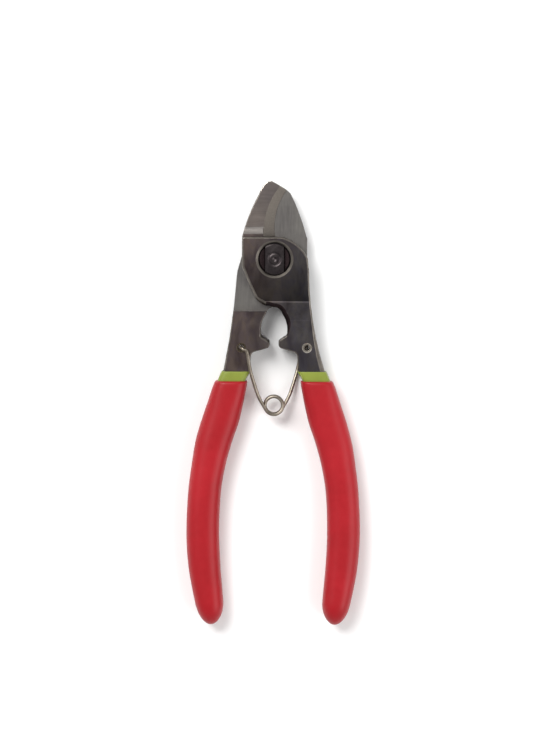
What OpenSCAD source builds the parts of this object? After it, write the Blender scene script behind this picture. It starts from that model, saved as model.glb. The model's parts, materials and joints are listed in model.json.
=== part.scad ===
// Nipper-type pet nail clipper: two forged levers with bypass blades, crossed at a bolted lap
// joint and held apart by a wire torsion spring. The handles carry double-dipped soft grips.
//
// Frame: the tool lies flat, with +Z up through its front face and +Y towards the blade tips.
// The origin is at the middle of the footprint, on the surface that the tool lies on.
// Inside the modules the pivot axis is x = y = 0 and z = 0 is the lap plane where the levers meet.

/* [Overall] */
// Distance from the pivot axis to the blade tip
tip_reach = 22.7; // [22:0.1:23.5]
// Distance from the pivot axis to the end of the grips
grip_reach = 107.3; // [106:0.1:112]
// Thickness of the grips, which is also the height of the tool as it lies
grip_thickness = 10; // [9.8:0.1:11]

/* [Levers] */
// Thickness of each lever's boss at the joint
boss_thickness = 4.4; // [4.2:0.1:4.5]
// Full thickness of the shanks and tangs
shank_thickness = 6.4; // [6:0.1:6.6]
// Clearance between the two lap faces
lap_gap = 0.06; // [0.04:0.01:0.1]
// Width of the front lever from the pivot axis to its waist
front_waist = 10.1; // [10:0.1:10.6]
// Width of the rear lever from the pivot axis to its waist
rear_waist = 10.9; // [10.4:0.1:11.2]
// Half of the gap between the two stop noses
stop_half_gap = 1.35; // [1.25:0.05:1.5]
// Half width of the eye between the levers, on the front lever's side
front_eye = 3.8; // [3.6:0.1:4.4]
// Half width of the eye between the levers, on the rear lever's side
rear_eye = 3.9; // [3.6:0.1:4.4]

/* [Blades] */
// Thickness of the blades beside the boss
blade_thickness = 3.2; // [3:0.1:3.4]
// Depth to which the blade face is ground down past the run-out
blade_ground_thickness = 2.6; // [2.4:0.1:2.8]
// Slope of the ground blade face towards the tip, in degrees
blade_taper = 3; // [1:0.5:3]
// Radius of the hollow cutting edge of the front blade
front_edge_radius = 18.3; // [18:0.1:18.6]
// Radius of the hollow cutting edge of the rear blade
rear_edge_radius = 17.2; // [16.9:0.1:17.5]
// Width of the bevel behind each cutting edge
bevel_width = 3.1; // [2.5:0.1:3.3]
// Height of the flat land left at each cutting edge
edge_land = 0.15; // [0.1:0.05:0.3]

/* [Pivot] */
// Radius of the pivot bolt's shaft
shaft_radius = 3.5; // [3.2:0.1:3.6]
// Radius of the threaded end
thread_radius = 3; // [2.6:0.1:3.1]
// Radius of the bolt's head and of the nut
head_radius = 4.6; // [4.4:0.1:4.65]
// Radius of the counterbores that hold the head and the nut
counterbore_radius = 4.8; // [4.8:0.1:5]
// Depth of the counterbores
counterbore_depth = 1.95; // [1.8:0.05:2]
// Half of the distance across the two flats
flat_half_width = 2.85; // [2.6:0.05:3]
// Running clearance of the shaft in the front lever
running_clearance = 0.05; // [0.03:0.01:0.08]

/* [Spring] */
// Diameter of the spring wire
wire_diameter = 1; // [0.8:0.1:1]
// Mean radius of the spring coil
coil_radius = 2.6; // [2.4:0.1:2.8]
// Distance from the pivot axis down to the middle of the coil
coil_drop = 42.9; // [42:0.1:44]
// Sideways distance from the tool's axis to each spring hole
spring_hole_x = 9.6; // [9.4:0.1:9.8]
// Distance from the pivot axis down to each spring hole
spring_hole_drop = 25.9; // [25.5:0.1:26.2]

/* [Grips] */
// Distance from the pivot axis to the top of the undercoat
undercoat_start = 32.8; // [32.6:0.1:33.4]
// Distance from the pivot axis to the top of the outer grip
cover_start = 35.7; // [35:0.1:37]
// Thickness of the undercoat on the tang
undercoat_thickness = 0.45; // [0.3:0.05:0.5]

/* [Hidden] */

arc_step = 5;
far = 200;
mid_height = grip_thickness / 2;
pivot_y = (grip_reach - tip_reach) / 2;
half_shank = shank_thickness / 2;

// Boss outline: top edge, side edge, and the rounded shoulder between the top and the handle side
boss_top = 6.5;
boss_side = 9.5;
shoulder_start = [1.8, boss_top];
shoulder_end = [9.7, 0.2];
shoulder_sag = 1.15;

// Lap: full thickness starts below the recess, and the boss slopes down to the shank
recess_end = -15.3;
slope_start = -12.4;
slope_end = -18.2;

// Grinding run-out beside the boss
grind_radius = 5;
grind_y = 9.7;

// Pivot stack, measured from the lap plane
counterbore_floor = boss_thickness - counterbore_depth;
rim_radius = 5.5;
rim_depth = 0.5;
head_floor_gap = 0.05;
flat_depth = 1.2;
washer_thickness = 0.3;
nut_cap = 0.5;
fixed_clearance = 0.02;

// Spring
wire_radius = wire_diameter / 2;
spring_hole_radius = 0.75;
countersink_radius = 1.45;
countersink_depth = 0.7;
coil_pitch = wire_diameter + 0.04;
leg_height = half_shank + undercoat_thickness + wire_radius + 0.1;
hook_depth = 4.4;
hook_radius = 1;
wire_sides = 8;

// Places that each spring leg passes, from its hole to the last bend above the coil
leg_knots = [
    [spring_hole_x - 1.7, -spring_hole_drop - 1.2],
    [7.05, -31.8],
    [6, -35.7],
    [4.45, 2.6 - coil_drop]
];
last_knot = leg_knots[3] + [0, coil_drop];
tangent_angle = atan2(last_knot[1], last_knot[0]) - acos(coil_radius / norm(last_knot));

// Handle stations: distance below the pivot, centre from the tool's axis,
// half width of the outer grip, half width of the steel tang
stations = [
    [32.8, 11, 4.7, 3.8],
    [35.7, 12.4, 4.9, 3.6],
    [42, 14.1, 5.3, 3.5],
    [48, 15.8, 5.6, 3.4],
    [54, 17.6, 5.4, 3.3],
    [60, 18.9, 5.05, 3.2],
    [68, 20.1, 4.85, 3],
    [80, 20.6, 4.85, 2.8],
    [90, 20.1, 4.75, 2.6],
    [97, 19.2, 4.45, 2.4],
    [102, 18.5, 4.1, 2.2],
    [108, 18.1, 3.7, 2]
];
tang_reach = 99;
tang_steps = 14;
tang_places = [for (k = [0:tang_steps]) mix(undercoat_start, tang_reach, k / tang_steps)];
cover_roundness = 2.6;
undercoat_roundness = 5;
ring_sides = 24;
end_round = 6.5;
end_flat = 0.12;
undercoat_end = grip_reach - 1.6;

// ---------------------------------------------------------------- curves

function mix(a, b, t) = a + (b - a) * t;
function ease(t) = t >= 1 ? 1 : t * t * (3 - 2 * t);
function unit(v) = v / norm(v);
function reversed(list) = [for (i = [len(list) - 1:-1:0]) list[i]];

// Points along an arc from a to b, without b itself, that bulges to the left by sag
function arc_points(a, b, sag) =
    sag == 0 ? [a] :
    let (chord = norm(b - a))
    let (r = (chord * chord / 4 + sag * sag) / (2 * abs(sag)))
    let (along = (b - a) / chord)
    let (left = [-along[1], along[0]] * sign(sag))
    let (centre = (a + b) / 2 - left * (r - abs(sag)))
    let (start = atan2(a[1] - centre[1], a[0] - centre[0]))
    let (sweep = -2 * asin(min(1, chord / (2 * r))) * sign(sag))
    let (steps = max(2, ceil(abs(sweep) / arc_step)))
    [for (k = [0:steps - 1]) centre + r * [cos(start + sweep * k / steps), sin(start + sweep * k / steps)]];

// Closed outline through corners [x, y, sag of the edge to the next corner]
function outline(corners) = [
    for (i = [0:len(corners) - 1])
        let (a = corners[i], b = corners[(i + 1) % len(corners)])
        each arc_points([a[0], a[1]], [b[0], b[1]], a[2])
];

// Index of the handle stretch that holds distance d
function stretch(d, i = 0) = i >= len(stations) - 2 || d <= stations[i + 1][0] ? i : stretch(d, i + 1);

// Slope of column c at station i
function station_slope(i, c) =
    let (low = max(i - 1, 0), high = min(i + 1, len(stations) - 1))
    (stations[high][c] - stations[low][c]) / (stations[high][0] - stations[low][0]);

// Smooth value of column c at distance d below the pivot
function handle(d, c) =
    let (i = stretch(d), a = stations[i], b = stations[i + 1])
    let (span = b[0] - a[0], t = (d - a[0]) / span)
    a[c] * (2 * t * t * t - 3 * t * t + 1) + station_slope(i, c) * span * (t * t * t - 2 * t * t + t)
    + b[c] * (3 * t * t - 2 * t * t * t) + station_slope(i + 1, c) * span * (t * t * t - t * t);

// Corners along one side of the tang: side 1 is the outer edge, side -1 the inner edge
function tang_edge(side) = [
    for (d = tang_places) [handle(d, 1) + side * handle(d, 3), -d, 0]
];

// ---------------------------------------------------------------- levers
// A lever is drawn with its handle on the +X side, its blade on the -X side and its lap on +Z.
// The rear lever is the same module turned over about the Y axis.

// Shape of a lever without its blade: boss, shank, tang, stop nose and its half of the eye
module lever_shape(waist, waist_sag, eye) {
    boss = [
        [-boss_side, -2.2, 0],
        [-boss_side, boss_top - 0.6, 0],
        [-boss_side + 0.6, boss_top, 0],
        [shoulder_start[0], shoulder_start[1], shoulder_sag],
        [shoulder_end[0], shoulder_end[1], 0],
        [waist, -4, waist_sag]
    ];
    nose_and_eye = [
        [6.8, -28.8, -0.45],
        [5.4, -27, 0],
        [stop_half_gap + 0.9, -26.1, 0.2],
        [stop_half_gap, -25.2, 0],
        [stop_half_gap, -23.9, 0],
        [eye - 0.8, -22.7, -0.25],
        [eye, -21.5, -0.5],
        [0.62 * eye, -16, -0.6],
        [-0.2, -14.1, -0.1],
        [-2.5, -13.6, 0.15],
        [-3.9, -12.8, 0.1],
        [-5.45, -11.4, 0.15]
    ];
    polygon(outline(concat(boss, tang_edge(1), reversed(tang_edge(-1)), nose_and_eye)));
}

// Solid to the lap side of the lever's upper surface: boss, slope and shank
module above_surface() {
    rotate([90, 0, 90])
        translate([0, 0, -far / 2])
            linear_extrude(far)
                polygon([
                    [far, boss_thickness],
                    [slope_start, boss_thickness],
                    [slope_end, half_shank],
                    [-far, half_shank],
                    [-far, far],
                    [far, far]
                ]);
}

// Space on the far side of the lap plane that the other lever's boss turns in
module lap_recess() {
    translate([-far / 2, recess_end, lap_gap / 2 - far])
        cube([far, far, far]);
}

// The blade face is ground down past a rounded run-out, and tapers to the tip
module grinding_cut() {
    translate([0, grind_y, blade_ground_thickness + grind_radius])
        rotate([-blade_taper, 0, 0]) {
            rotate([0, 90, 0])
                cylinder(r = grind_radius, h = far, center = true, $fn = 64);
            translate([-far / 2, 0, -grind_radius])
                cube([far, far, far]);
        }
}

// Hollow cutting edge with its bevel: centre of the edge's arc, and its radius
module edge_cut(centre, radius) {
    translate([centre[0], centre[1], 0]) {
        translate([0, 0, -1])
            cylinder(r = radius, h = blade_thickness + 2, $fn = 128);
        translate([0, 0, lap_gap / 2 + edge_land])
            cylinder(r1 = radius, r2 = radius + bevel_width, h = blade_ground_thickness - edge_land, $fn = 128);
        translate([0, 0, lap_gap / 2 + blade_ground_thickness - 0.01])
            cylinder(r = radius + bevel_width, h = blade_thickness, $fn = 128);
    }
}

module blade(corners, centre, radius) {
    intersection() {
        difference() {
            translate([0, 0, lap_gap / 2])
                linear_extrude(blade_thickness - lap_gap / 2)
                    polygon(outline(corners));
            edge_cut(centre, radius);
            grinding_cut();
        }
        translate([-far / 2, boss_top - 1, 0])
            cube([far, far, far]);
    }
}

module handle_and_boss(waist, waist_sag, eye) {
    difference() {
        translate([0, 0, -half_shank])
            linear_extrude(half_shank + boss_thickness)
                lever_shape(waist, waist_sag, eye);
        above_surface();
        lap_recess();
    }
}

// Counterbore with a chamfered rim, open on the boss face
module counterbore() {
    translate([0, 0, counterbore_floor])
        cylinder(r = counterbore_radius, h = far, $fn = 96);
    translate([0, 0, boss_thickness - rim_depth])
        cylinder(r1 = counterbore_radius, r2 = rim_radius, h = rim_depth, $fn = 96);
}

module spring_hole() {
    translate([spring_hole_x, -spring_hole_drop, 0]) {
        cylinder(r = spring_hole_radius, h = far, center = true, $fn = 32);
        for (side = [0, 1])
            mirror([0, 0, side])
                translate([0, 0, half_shank - countersink_depth])
                    cylinder(r1 = spring_hole_radius, r2 = countersink_radius, h = countersink_depth, $fn = 32);
    }
}

module lever(waist, waist_sag, eye, blade_corners, edge_centre, edge_radius, bore_radius) {
    difference() {
        union() {
            handle_and_boss(waist, waist_sag, eye);
            blade(blade_corners, edge_centre, edge_radius);
        }
        cylinder(r = bore_radius, h = far, center = true, $fn = 96);
        counterbore();
        spring_hole();
    }
}

// ---------------------------------------------------------------- spring

// Point on a smooth curve through the points p, at share t of the way from p[i] to p[i + 1]
function curve_point(p, i, t) =
    (2 * p[i] + (p[i + 1] - p[i - 1]) * t
        + (2 * p[i - 1] - 5 * p[i] + 4 * p[i + 1] - p[i + 2]) * t * t
        + (3 * p[i] - p[i - 1] - 3 * p[i + 1] + p[i + 2]) * t * t * t) / 2;

// Middle line of one half of the wire: hook in the hole, leg, and its turns of the coil
function wire_path() =
    let (hole = [spring_hole_x, -spring_hole_drop], coil = [0, -coil_drop])
    let (touch = coil + coil_radius * [cos(tangent_angle), sin(tangent_angle)])
    let (along = unit(leg_knots[0] - hole))
    let (places = concat([hole], [hole + along * hook_radius], leg_knots, [touch, touch + unit(touch - leg_knots[3])]))
    let (turn = 360 + 90 + tangent_angle, coil_steps = 22, spans = len(places) - 3, span_steps = 3)
    let (coil_z = -coil_pitch / 2 - coil_pitch * turn / 360)
    concat(
        [[hole[0], hole[1], hook_depth - leg_height], [hole[0], hole[1], hook_radius - leg_height - 1]],
        [for (a = [0:22.5:67.5])
            let (p = hole + along * hook_radius * (1 - cos(a)))
            [p[0], p[1], hook_radius - leg_height - hook_radius * sin(a)]],
        [for (i = [1:spans], k = [0:span_steps - 1])
            let (p = curve_point(places, i, k / span_steps), t = (i - 1 + k / span_steps) / spans)
            [p[0], p[1], mix(coil_z, -leg_height, ease((1 - t) / 0.6))]],
        [for (k = [0:coil_steps])
            let (a = tangent_angle - turn * k / coil_steps)
            [coil[0] + coil_radius * cos(a), coil[1] + coil_radius * sin(a),
                coil_z + coil_pitch * turn / 360 * k / coil_steps]]
    );

// Direction of the path at point i
function heading(path, i) = unit(path[min(i + 1, len(path) - 1)] - path[max(i - 1, 0)]);

// Sideways vectors carried along the path without twisting
function side_vectors(path) = [
    for (i = 0, s = unit(cross(heading(path, 0), [0, 1, 0])); i < len(path);
        i = i + 1, s = i < len(path) ? unit(s - heading(path, i) * (s * heading(path, i))) : s) s
];

module wire(path) {
    sides = side_vectors(path);
    count = len(path);
    points = [
        for (i = [0:count - 1])
            let (s = sides[i], u = cross(heading(path, i), s))
            for (k = [0:wire_sides - 1])
                path[i] + wire_radius * (cos(360 * k / wire_sides) * s + sin(360 * k / wire_sides) * u)
    ];
    skin = [
        for (i = [0:count - 2], k = [0:wire_sides - 1])
            let (next = (k + 1) % wire_sides, a = i * wire_sides, b = (i + 1) * wire_sides)
            each [[a + k, b + next, a + next], [a + k, b + k, b + next]]
    ];
    ends = [
        [for (k = [0:wire_sides - 1]) k],
        [for (k = [wire_sides - 1:-1:0]) (count - 1) * wire_sides + k]
    ];
    polyhedron(points, concat(skin, ends));
}

// ---------------------------------------------------------------- grips

// Direction k round a ring, as cosine and sine
function around(k) = [cos(360 * k / ring_sides), sin(360 * k / ring_sides)];

// Ring of a grip at distance d: an oval or rounded rectangle of half sizes w and h
function oval_ring(d, w, h, roundness) = [
    for (k = [0:ring_sides - 1])
        let (a = around(k))
        [handle(d, 1) + w * sign(a[0]) * pow(abs(a[0]), 2 / roundness), -d,
            h * sign(a[1]) * pow(abs(a[1]), 2 / roundness)]
];

// Ring round the tang's own square section at distance d
function tang_ring(d) = [
    for (k = [0:ring_sides - 1])
        let (a = around(k) / max(abs(around(k)[0]), abs(around(k)[1])))
        [handle(d, 1) + handle(d, 3) * a[0], -d, half_shank * a[1]]
];

// Faces between the rings of a skin that starts at point first; turn 1 faces out, -1 faces in
function skin(first, count, turn) = [
    for (i = [0:count - 2], k = [0:ring_sides - 1])
        let (next = (k + 1) % ring_sides, a = first + i * ring_sides, b = a + ring_sides)
        let (p = turn > 0 ? [a + k, a + next] : [a + next, a + k])
        let (q = turn > 0 ? [b + k, b + next] : [b + next, b + k])
        each [[p[0], p[1], q[1]], [p[0], q[1], q[0]]]
];

// Fan of faces that closes the ring that starts at point first, round the point centre
function cap(first, centre, turn) = [
    for (k = [0:ring_sides - 1])
        let (next = (k + 1) % ring_sides)
        turn > 0 ? [first + k, first + next, centre] : [first + next, first + k, centre]
];

// Middle of a ring
function middle(r) = (r[0] + r[ring_sides / 2]) / 2;

// Sock-shaped solid between a list of outer rings and a list of inner rings, open at its first rings
module sock(outer, inner) {
    outer_points = len(outer) * ring_sides;
    all_points = outer_points + len(inner) * ring_sides;
    mouth = [
        for (k = [0:ring_sides - 1])
            let (next = (k + 1) % ring_sides)
            each [[k, outer_points + k, outer_points + next], [k, outer_points + next, next]]
    ];
    polyhedron(
        concat(
            [for (r = concat(outer, inner)) each r],
            [middle(outer[len(outer) - 1]), middle(inner[len(inner) - 1])]
        ),
        concat(
            skin(0, len(outer), 1),
            cap(outer_points - ring_sides, all_points, 1),
            skin(outer_points, len(inner), -1),
            cap(all_points - ring_sides, all_points + 1, -1),
            mouth
        )
    );
}

// Distances of the rings: even along the grip, closer together round its end
function ring_places(start, end) = concat(
    [for (k = [0:13]) mix(start, end - end_round, k / 14)],
    [for (a = [0:15:75]) end - end_round * (1 - sin(a))],
    [end]
);

// How far the rounded end draws the section in
function end_scale(d, end) =
    let (t = max(0, (d - end + end_round) / end_round))
    max(end_flat, sqrt(max(0, 1 - t * t)));

function cover_rings() = [
    for (d = ring_places(cover_start, grip_reach))
        let (f = end_scale(d, grip_reach))
        oval_ring(d, handle(d, 2) * f, grip_thickness / 2 * f, cover_roundness)
];

// Outer rings of the undercoat inside the cover
function covered_rings() = [
    for (d = ring_places(cover_start, undercoat_end))
        let (f = end_scale(d, undercoat_end))
        oval_ring(d, (handle(d, 3) + undercoat_thickness) * f, (half_shank + undercoat_thickness) * f,
            undercoat_roundness)
];

module undercoat() {
    band = oval_ring(undercoat_start, handle(undercoat_start, 3) + undercoat_thickness,
        half_shank + undercoat_thickness, undercoat_roundness);
    color("yellowgreen")
        sock(concat([band], covered_rings()), [for (d = tang_places) tang_ring(d)]);
}

module cover() {
    color("crimson")
        sock(cover_rings(), covered_rings());
}

// ---------------------------------------------------------------- placing

// From the pivot's own frame to the frame of the whole tool
module placed() {
    translate([0, pivot_y, mid_height])
        children();
}

// Turned over to the rear lever's side
module turned_over() {
    rotate([0, 180, 0])
        children();
}

// ---------------------------------------------------------------- pieces

module front_lever() {
    color("dimgray")
        placed()
            lever(front_waist, -1.1, front_eye,
                [[-9.1, 5.2, 0], [-boss_side, 6.5, 0.4], [-4.65, 18.8, 0.28], [-2.4, tip_reach - 0.3, 0.1],
                    [-0.9, tip_reach, 0.1], [5, 19.1, 0], [5, 5.2, 0]],
                [18.2, 9.25], front_edge_radius, shaft_radius + running_clearance);
}

module rear_lever() {
    color("slategray")
        placed()
            turned_over()
                lever(rear_waist, -0.5, rear_eye,
                    [[-9.1, 5.2, 0], [-9.25, 6.5, 0.35], [-4.7, 18.8, 0.35], [-1.5, 20.9, 0.1],
                        [0.9, 21.3, 0], [3.5, 20.6, 0], [3.5, 5.2, 0]],
                    [17.05, 13.65], rear_edge_radius, shaft_radius + fixed_clearance);
}

// Cuts the two wrench flats into a round head whose face is at z = face
module wrench_flats(face) {
    for (side = [-1, 1])
        translate([side * (flat_half_width + far / 2), 0, face - flat_depth + far / 2])
            cube([far, far, far], center = true);
}

module pivot_bolt() {
    shaft_end = -counterbore_floor;
    thread_end = -mid_height + nut_cap + 0.15;
    color("gray")
        placed() {
            difference() {
                translate([0, 0, counterbore_floor + head_floor_gap])
                    cylinder(r = head_radius, h = counterbore_depth - head_floor_gap, $fn = 96);
                wrench_flats(boss_thickness);
            }
            translate([0, 0, shaft_end])
                cylinder(r = shaft_radius, h = counterbore_floor - shaft_end + head_floor_gap, $fn = 96);
            translate([0, 0, thread_end])
                cylinder(r = thread_radius, h = shaft_end - thread_end, $fn = 96);
        }
}

module pivot_washer() {
    color("silver")
        placed()
            translate([0, 0, -counterbore_floor - washer_thickness])
                difference() {
                    cylinder(r = head_radius - 0.1, h = washer_thickness, $fn = 96);
                    cylinder(r = thread_radius + 0.1, h = 3 * washer_thickness, center = true, $fn = 96);
                }
}

module pivot_nut() {
    inner_face = -counterbore_floor - washer_thickness;
    color("gray")
        placed()
            difference() {
                translate([0, 0, -mid_height])
                    cylinder(r = head_radius, h = mid_height + inner_face, $fn = 96);
                mirror([0, 0, 1])
                    wrench_flats(mid_height);
                translate([0, 0, -mid_height + nut_cap])
                    cylinder(r = thread_radius + fixed_clearance, h = far, $fn = 96);
            }
}

module spring_right_half() {
    color("tan")
        placed()
            wire(wire_path());
}

module spring_left_half() {
    color("tan")
        placed()
            turned_over()
                wire(wire_path());
}

module right_grip_undercoat() {
    placed()
        undercoat();
}

module left_grip_undercoat() {
    placed()
        turned_over()
            undercoat();
}

module right_grip_cover() {
    placed()
        cover();
}

module left_grip_cover() {
    placed()
        turned_over()
            cover();
}

front_lever();
rear_lever();
pivot_bolt();
pivot_washer();
pivot_nut();
spring_left_half();
spring_right_half();
left_grip_undercoat();
right_grip_undercoat();
left_grip_cover();
right_grip_cover();
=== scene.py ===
import json
import math

import bmesh
import bpy
from mathutils import Matrix, Vector, noise

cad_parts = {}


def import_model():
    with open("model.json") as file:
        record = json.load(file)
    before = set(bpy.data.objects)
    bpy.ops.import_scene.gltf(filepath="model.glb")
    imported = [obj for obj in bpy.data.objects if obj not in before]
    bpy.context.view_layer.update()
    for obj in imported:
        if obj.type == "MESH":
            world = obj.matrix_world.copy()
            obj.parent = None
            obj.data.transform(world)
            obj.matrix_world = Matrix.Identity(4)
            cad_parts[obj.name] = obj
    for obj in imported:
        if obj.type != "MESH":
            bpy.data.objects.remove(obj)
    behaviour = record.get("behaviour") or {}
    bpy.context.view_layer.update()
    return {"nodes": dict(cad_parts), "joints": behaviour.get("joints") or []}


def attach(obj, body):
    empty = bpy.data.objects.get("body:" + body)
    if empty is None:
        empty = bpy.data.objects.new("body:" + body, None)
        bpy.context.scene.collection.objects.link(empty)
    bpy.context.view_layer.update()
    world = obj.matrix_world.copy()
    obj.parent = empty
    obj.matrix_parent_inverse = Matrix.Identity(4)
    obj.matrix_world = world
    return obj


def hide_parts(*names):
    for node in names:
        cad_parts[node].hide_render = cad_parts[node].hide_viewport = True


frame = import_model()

MM = 0.001
PIVOT = Vector(frame["joints"][0]["pos_m"])
NODE = frame["nodes"]

# ---------------------------------------------------------------- measures of the tool, in mm from the pivot

# Levers, in their own drawing: handle to +x, blade to -x, boss above the lap plane at z = 0
BOSS_TOP, BOSS_SIDE, BOSS_THICKNESS = 6.5, 9.5, 4.4
HALF_SHANK, HALF_LAP = 3.2, 0.03
SLOPE_START, SLOPE_END, RECESS_END = -12.4, -18.2, -15.3
NECK_HIGH = 3.0
STOP_HALF_GAP = 1.35
INSIDE_REACH = 9.0
TANG_REACH = 99

# Chamfers: plain, fine, round the boss, in the eye, on the nose, under and over the tang's outside
RIM, FINE_RIM, BOSS_RIM, EYE_RIM, NOSE_RIM = 0.45, 0.3, 0.75, 1.25, 0.85
UNDER_TANG_RIM, TANG_RIM, BLADE_RIM = 0.5, 1.3, 0.22
BOSS_FOOT, EYE_TOP, NOSE_MIDDLE = -10.5, -13, -23.2
RIM_STEPS, RIM_CROWN = 4, 0.45
ARC_STEP = 3

# Blades
BLADE_THICKNESS, GROUND_THICKNESS = 3.2, 2.6
GRIND_Y, GRIND_RADIUS, GRIND_SLOPE = 9.7, 5.0, math.radians(3)
BEVEL_WIDTH, EDGE_LAND = 3.1, 0.15

# Pivot: counterbores, bolt and nut
COUNTERBORE_RADIUS, COUNTERBORE_DEPTH = 4.8, 1.95
MOUTH_RADIUS, MOUTH_DEPTH = 5.5, 0.5
HEAD_RADIUS, HEAD_BOTTOM, HEAD_TOP = 4.6, 2.5, 4.4
NUT_BOTTOM, NUT_TOP = 2.75, 5.0
FACE_GAP, HEAD_CROWN, HEAD_CHAMFER, CHAMFER_SLOPE = 0.02, 0.1, 0.3, 0.8
FLAT_HALF_WIDTH, FLAT_DEPTH, FLAT_SLOPE, FLAT_RISE = 2.85, 1.2, 0.14, 0.12
RING_RADIUS, RING_WIDTH, RING_DEPTH = 1.75, 0.2, 0.16
MARK_WIDTH, MARK_DEPTH = 0.42, 0.3
SHAFT_RADIUS, THREAD_RADIUS, THREAD_END = 3.5, 2.7, -4.35
THREAD_GAP = 0.02

# Spring and its holes
HOLE, HOLE_RADIUS = (9.6, -25.9), 0.75
COUNTERSINK_RADIUS, COUNTERSINK_DEPTH = 1.45, 0.7
COIL_RADIUS, COIL_DROP, COIL_PITCH = 2.6, 42.9, 1.04
LEG_KNOTS = [(7.9, -27.1), (7.05, -31.8), (6.0, -35.7), (4.45, -40.3)]
WIRE_RADIUS = 0.5
HOOK_DEPTH, HOOK_BEND = 4.4, 1.0

# Grips
UNDERCOAT_START, COVER_START, UNDERCOAT_END, GRIP_END = 32.8, 35.7, 105.7, 107.3
UNDERCOAT_THICKNESS, HALF_GRIP, END_ROUND = 0.45, 5.0, 6.5
LIP = 0.9
LEG_HEIGHT = HALF_SHANK + UNDERCOAT_THICKNESS + WIRE_RADIUS + 0.1

# Distance below the pivot, centre from the tool's axis, half width of the grip, half width of the tang
STATIONS = [
    (32.8, 11, 4.7, 3.8), (35.7, 12.4, 4.9, 3.6), (42, 14.1, 5.3, 3.5), (48, 15.8, 5.6, 3.4),
    (54, 17.6, 5.4, 3.3), (60, 18.9, 5.05, 3.2), (68, 20.1, 4.85, 3), (80, 20.6, 4.85, 2.8),
    (90, 20.1, 4.75, 2.6), (97, 19.2, 4.45, 2.4), (102, 18.5, 4.1, 2.2), (108, 18.1, 3.7, 2),
]


def place(p, turned):
    """A point of a lever's own drawing, in mm from the pivot, in the row frame in metres."""
    x, y, z = p
    if turned:
        x, z = -x, -z
    return PIVOT + Vector((x, y, z)) * MM


def unplace(p, turned):
    """The point of a lever's own drawing that place() puts at p."""
    q = (Vector(p) - PIVOT) / MM
    return Vector((-q.x, q.y, -q.z)) if turned else q


def mix(a, b, t):
    """The value at share t of the way from a to b."""
    return a + (b - a) * t


def smooth(t):
    """A share from 0 to 1, eased at both ends."""
    t = max(0.0, min(1.0, t))
    return t * t * (3 - 2 * t)


def eased(value, start, end):
    """Share of the way from start to end, held at 0 and 1 outside and smooth between."""
    return smooth((value - start) / (end - start))


def handle(d, c):
    """Smooth value of a station column at distance d below the pivot."""
    last = len(STATIONS) - 1
    i = 0
    while i < last - 1 and d > STATIONS[i + 1][0]:
        i += 1

    def slope(k):
        low, high = STATIONS[max(k - 1, 0)], STATIONS[min(k + 1, last)]
        return (high[c] - low[c]) / (high[0] - low[0])

    a, b = STATIONS[i], STATIONS[i + 1]
    span = b[0] - a[0]
    t = (d - a[0]) / span
    return (
        a[c] * (2 * t ** 3 - 3 * t * t + 1) + slope(i) * span * (t ** 3 - 2 * t * t + t)
        + b[c] * (3 * t * t - 2 * t ** 3) + slope(i + 1) * span * (t ** 3 - t * t)
    )


# ---------------------------------------------------------------- materials

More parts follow.
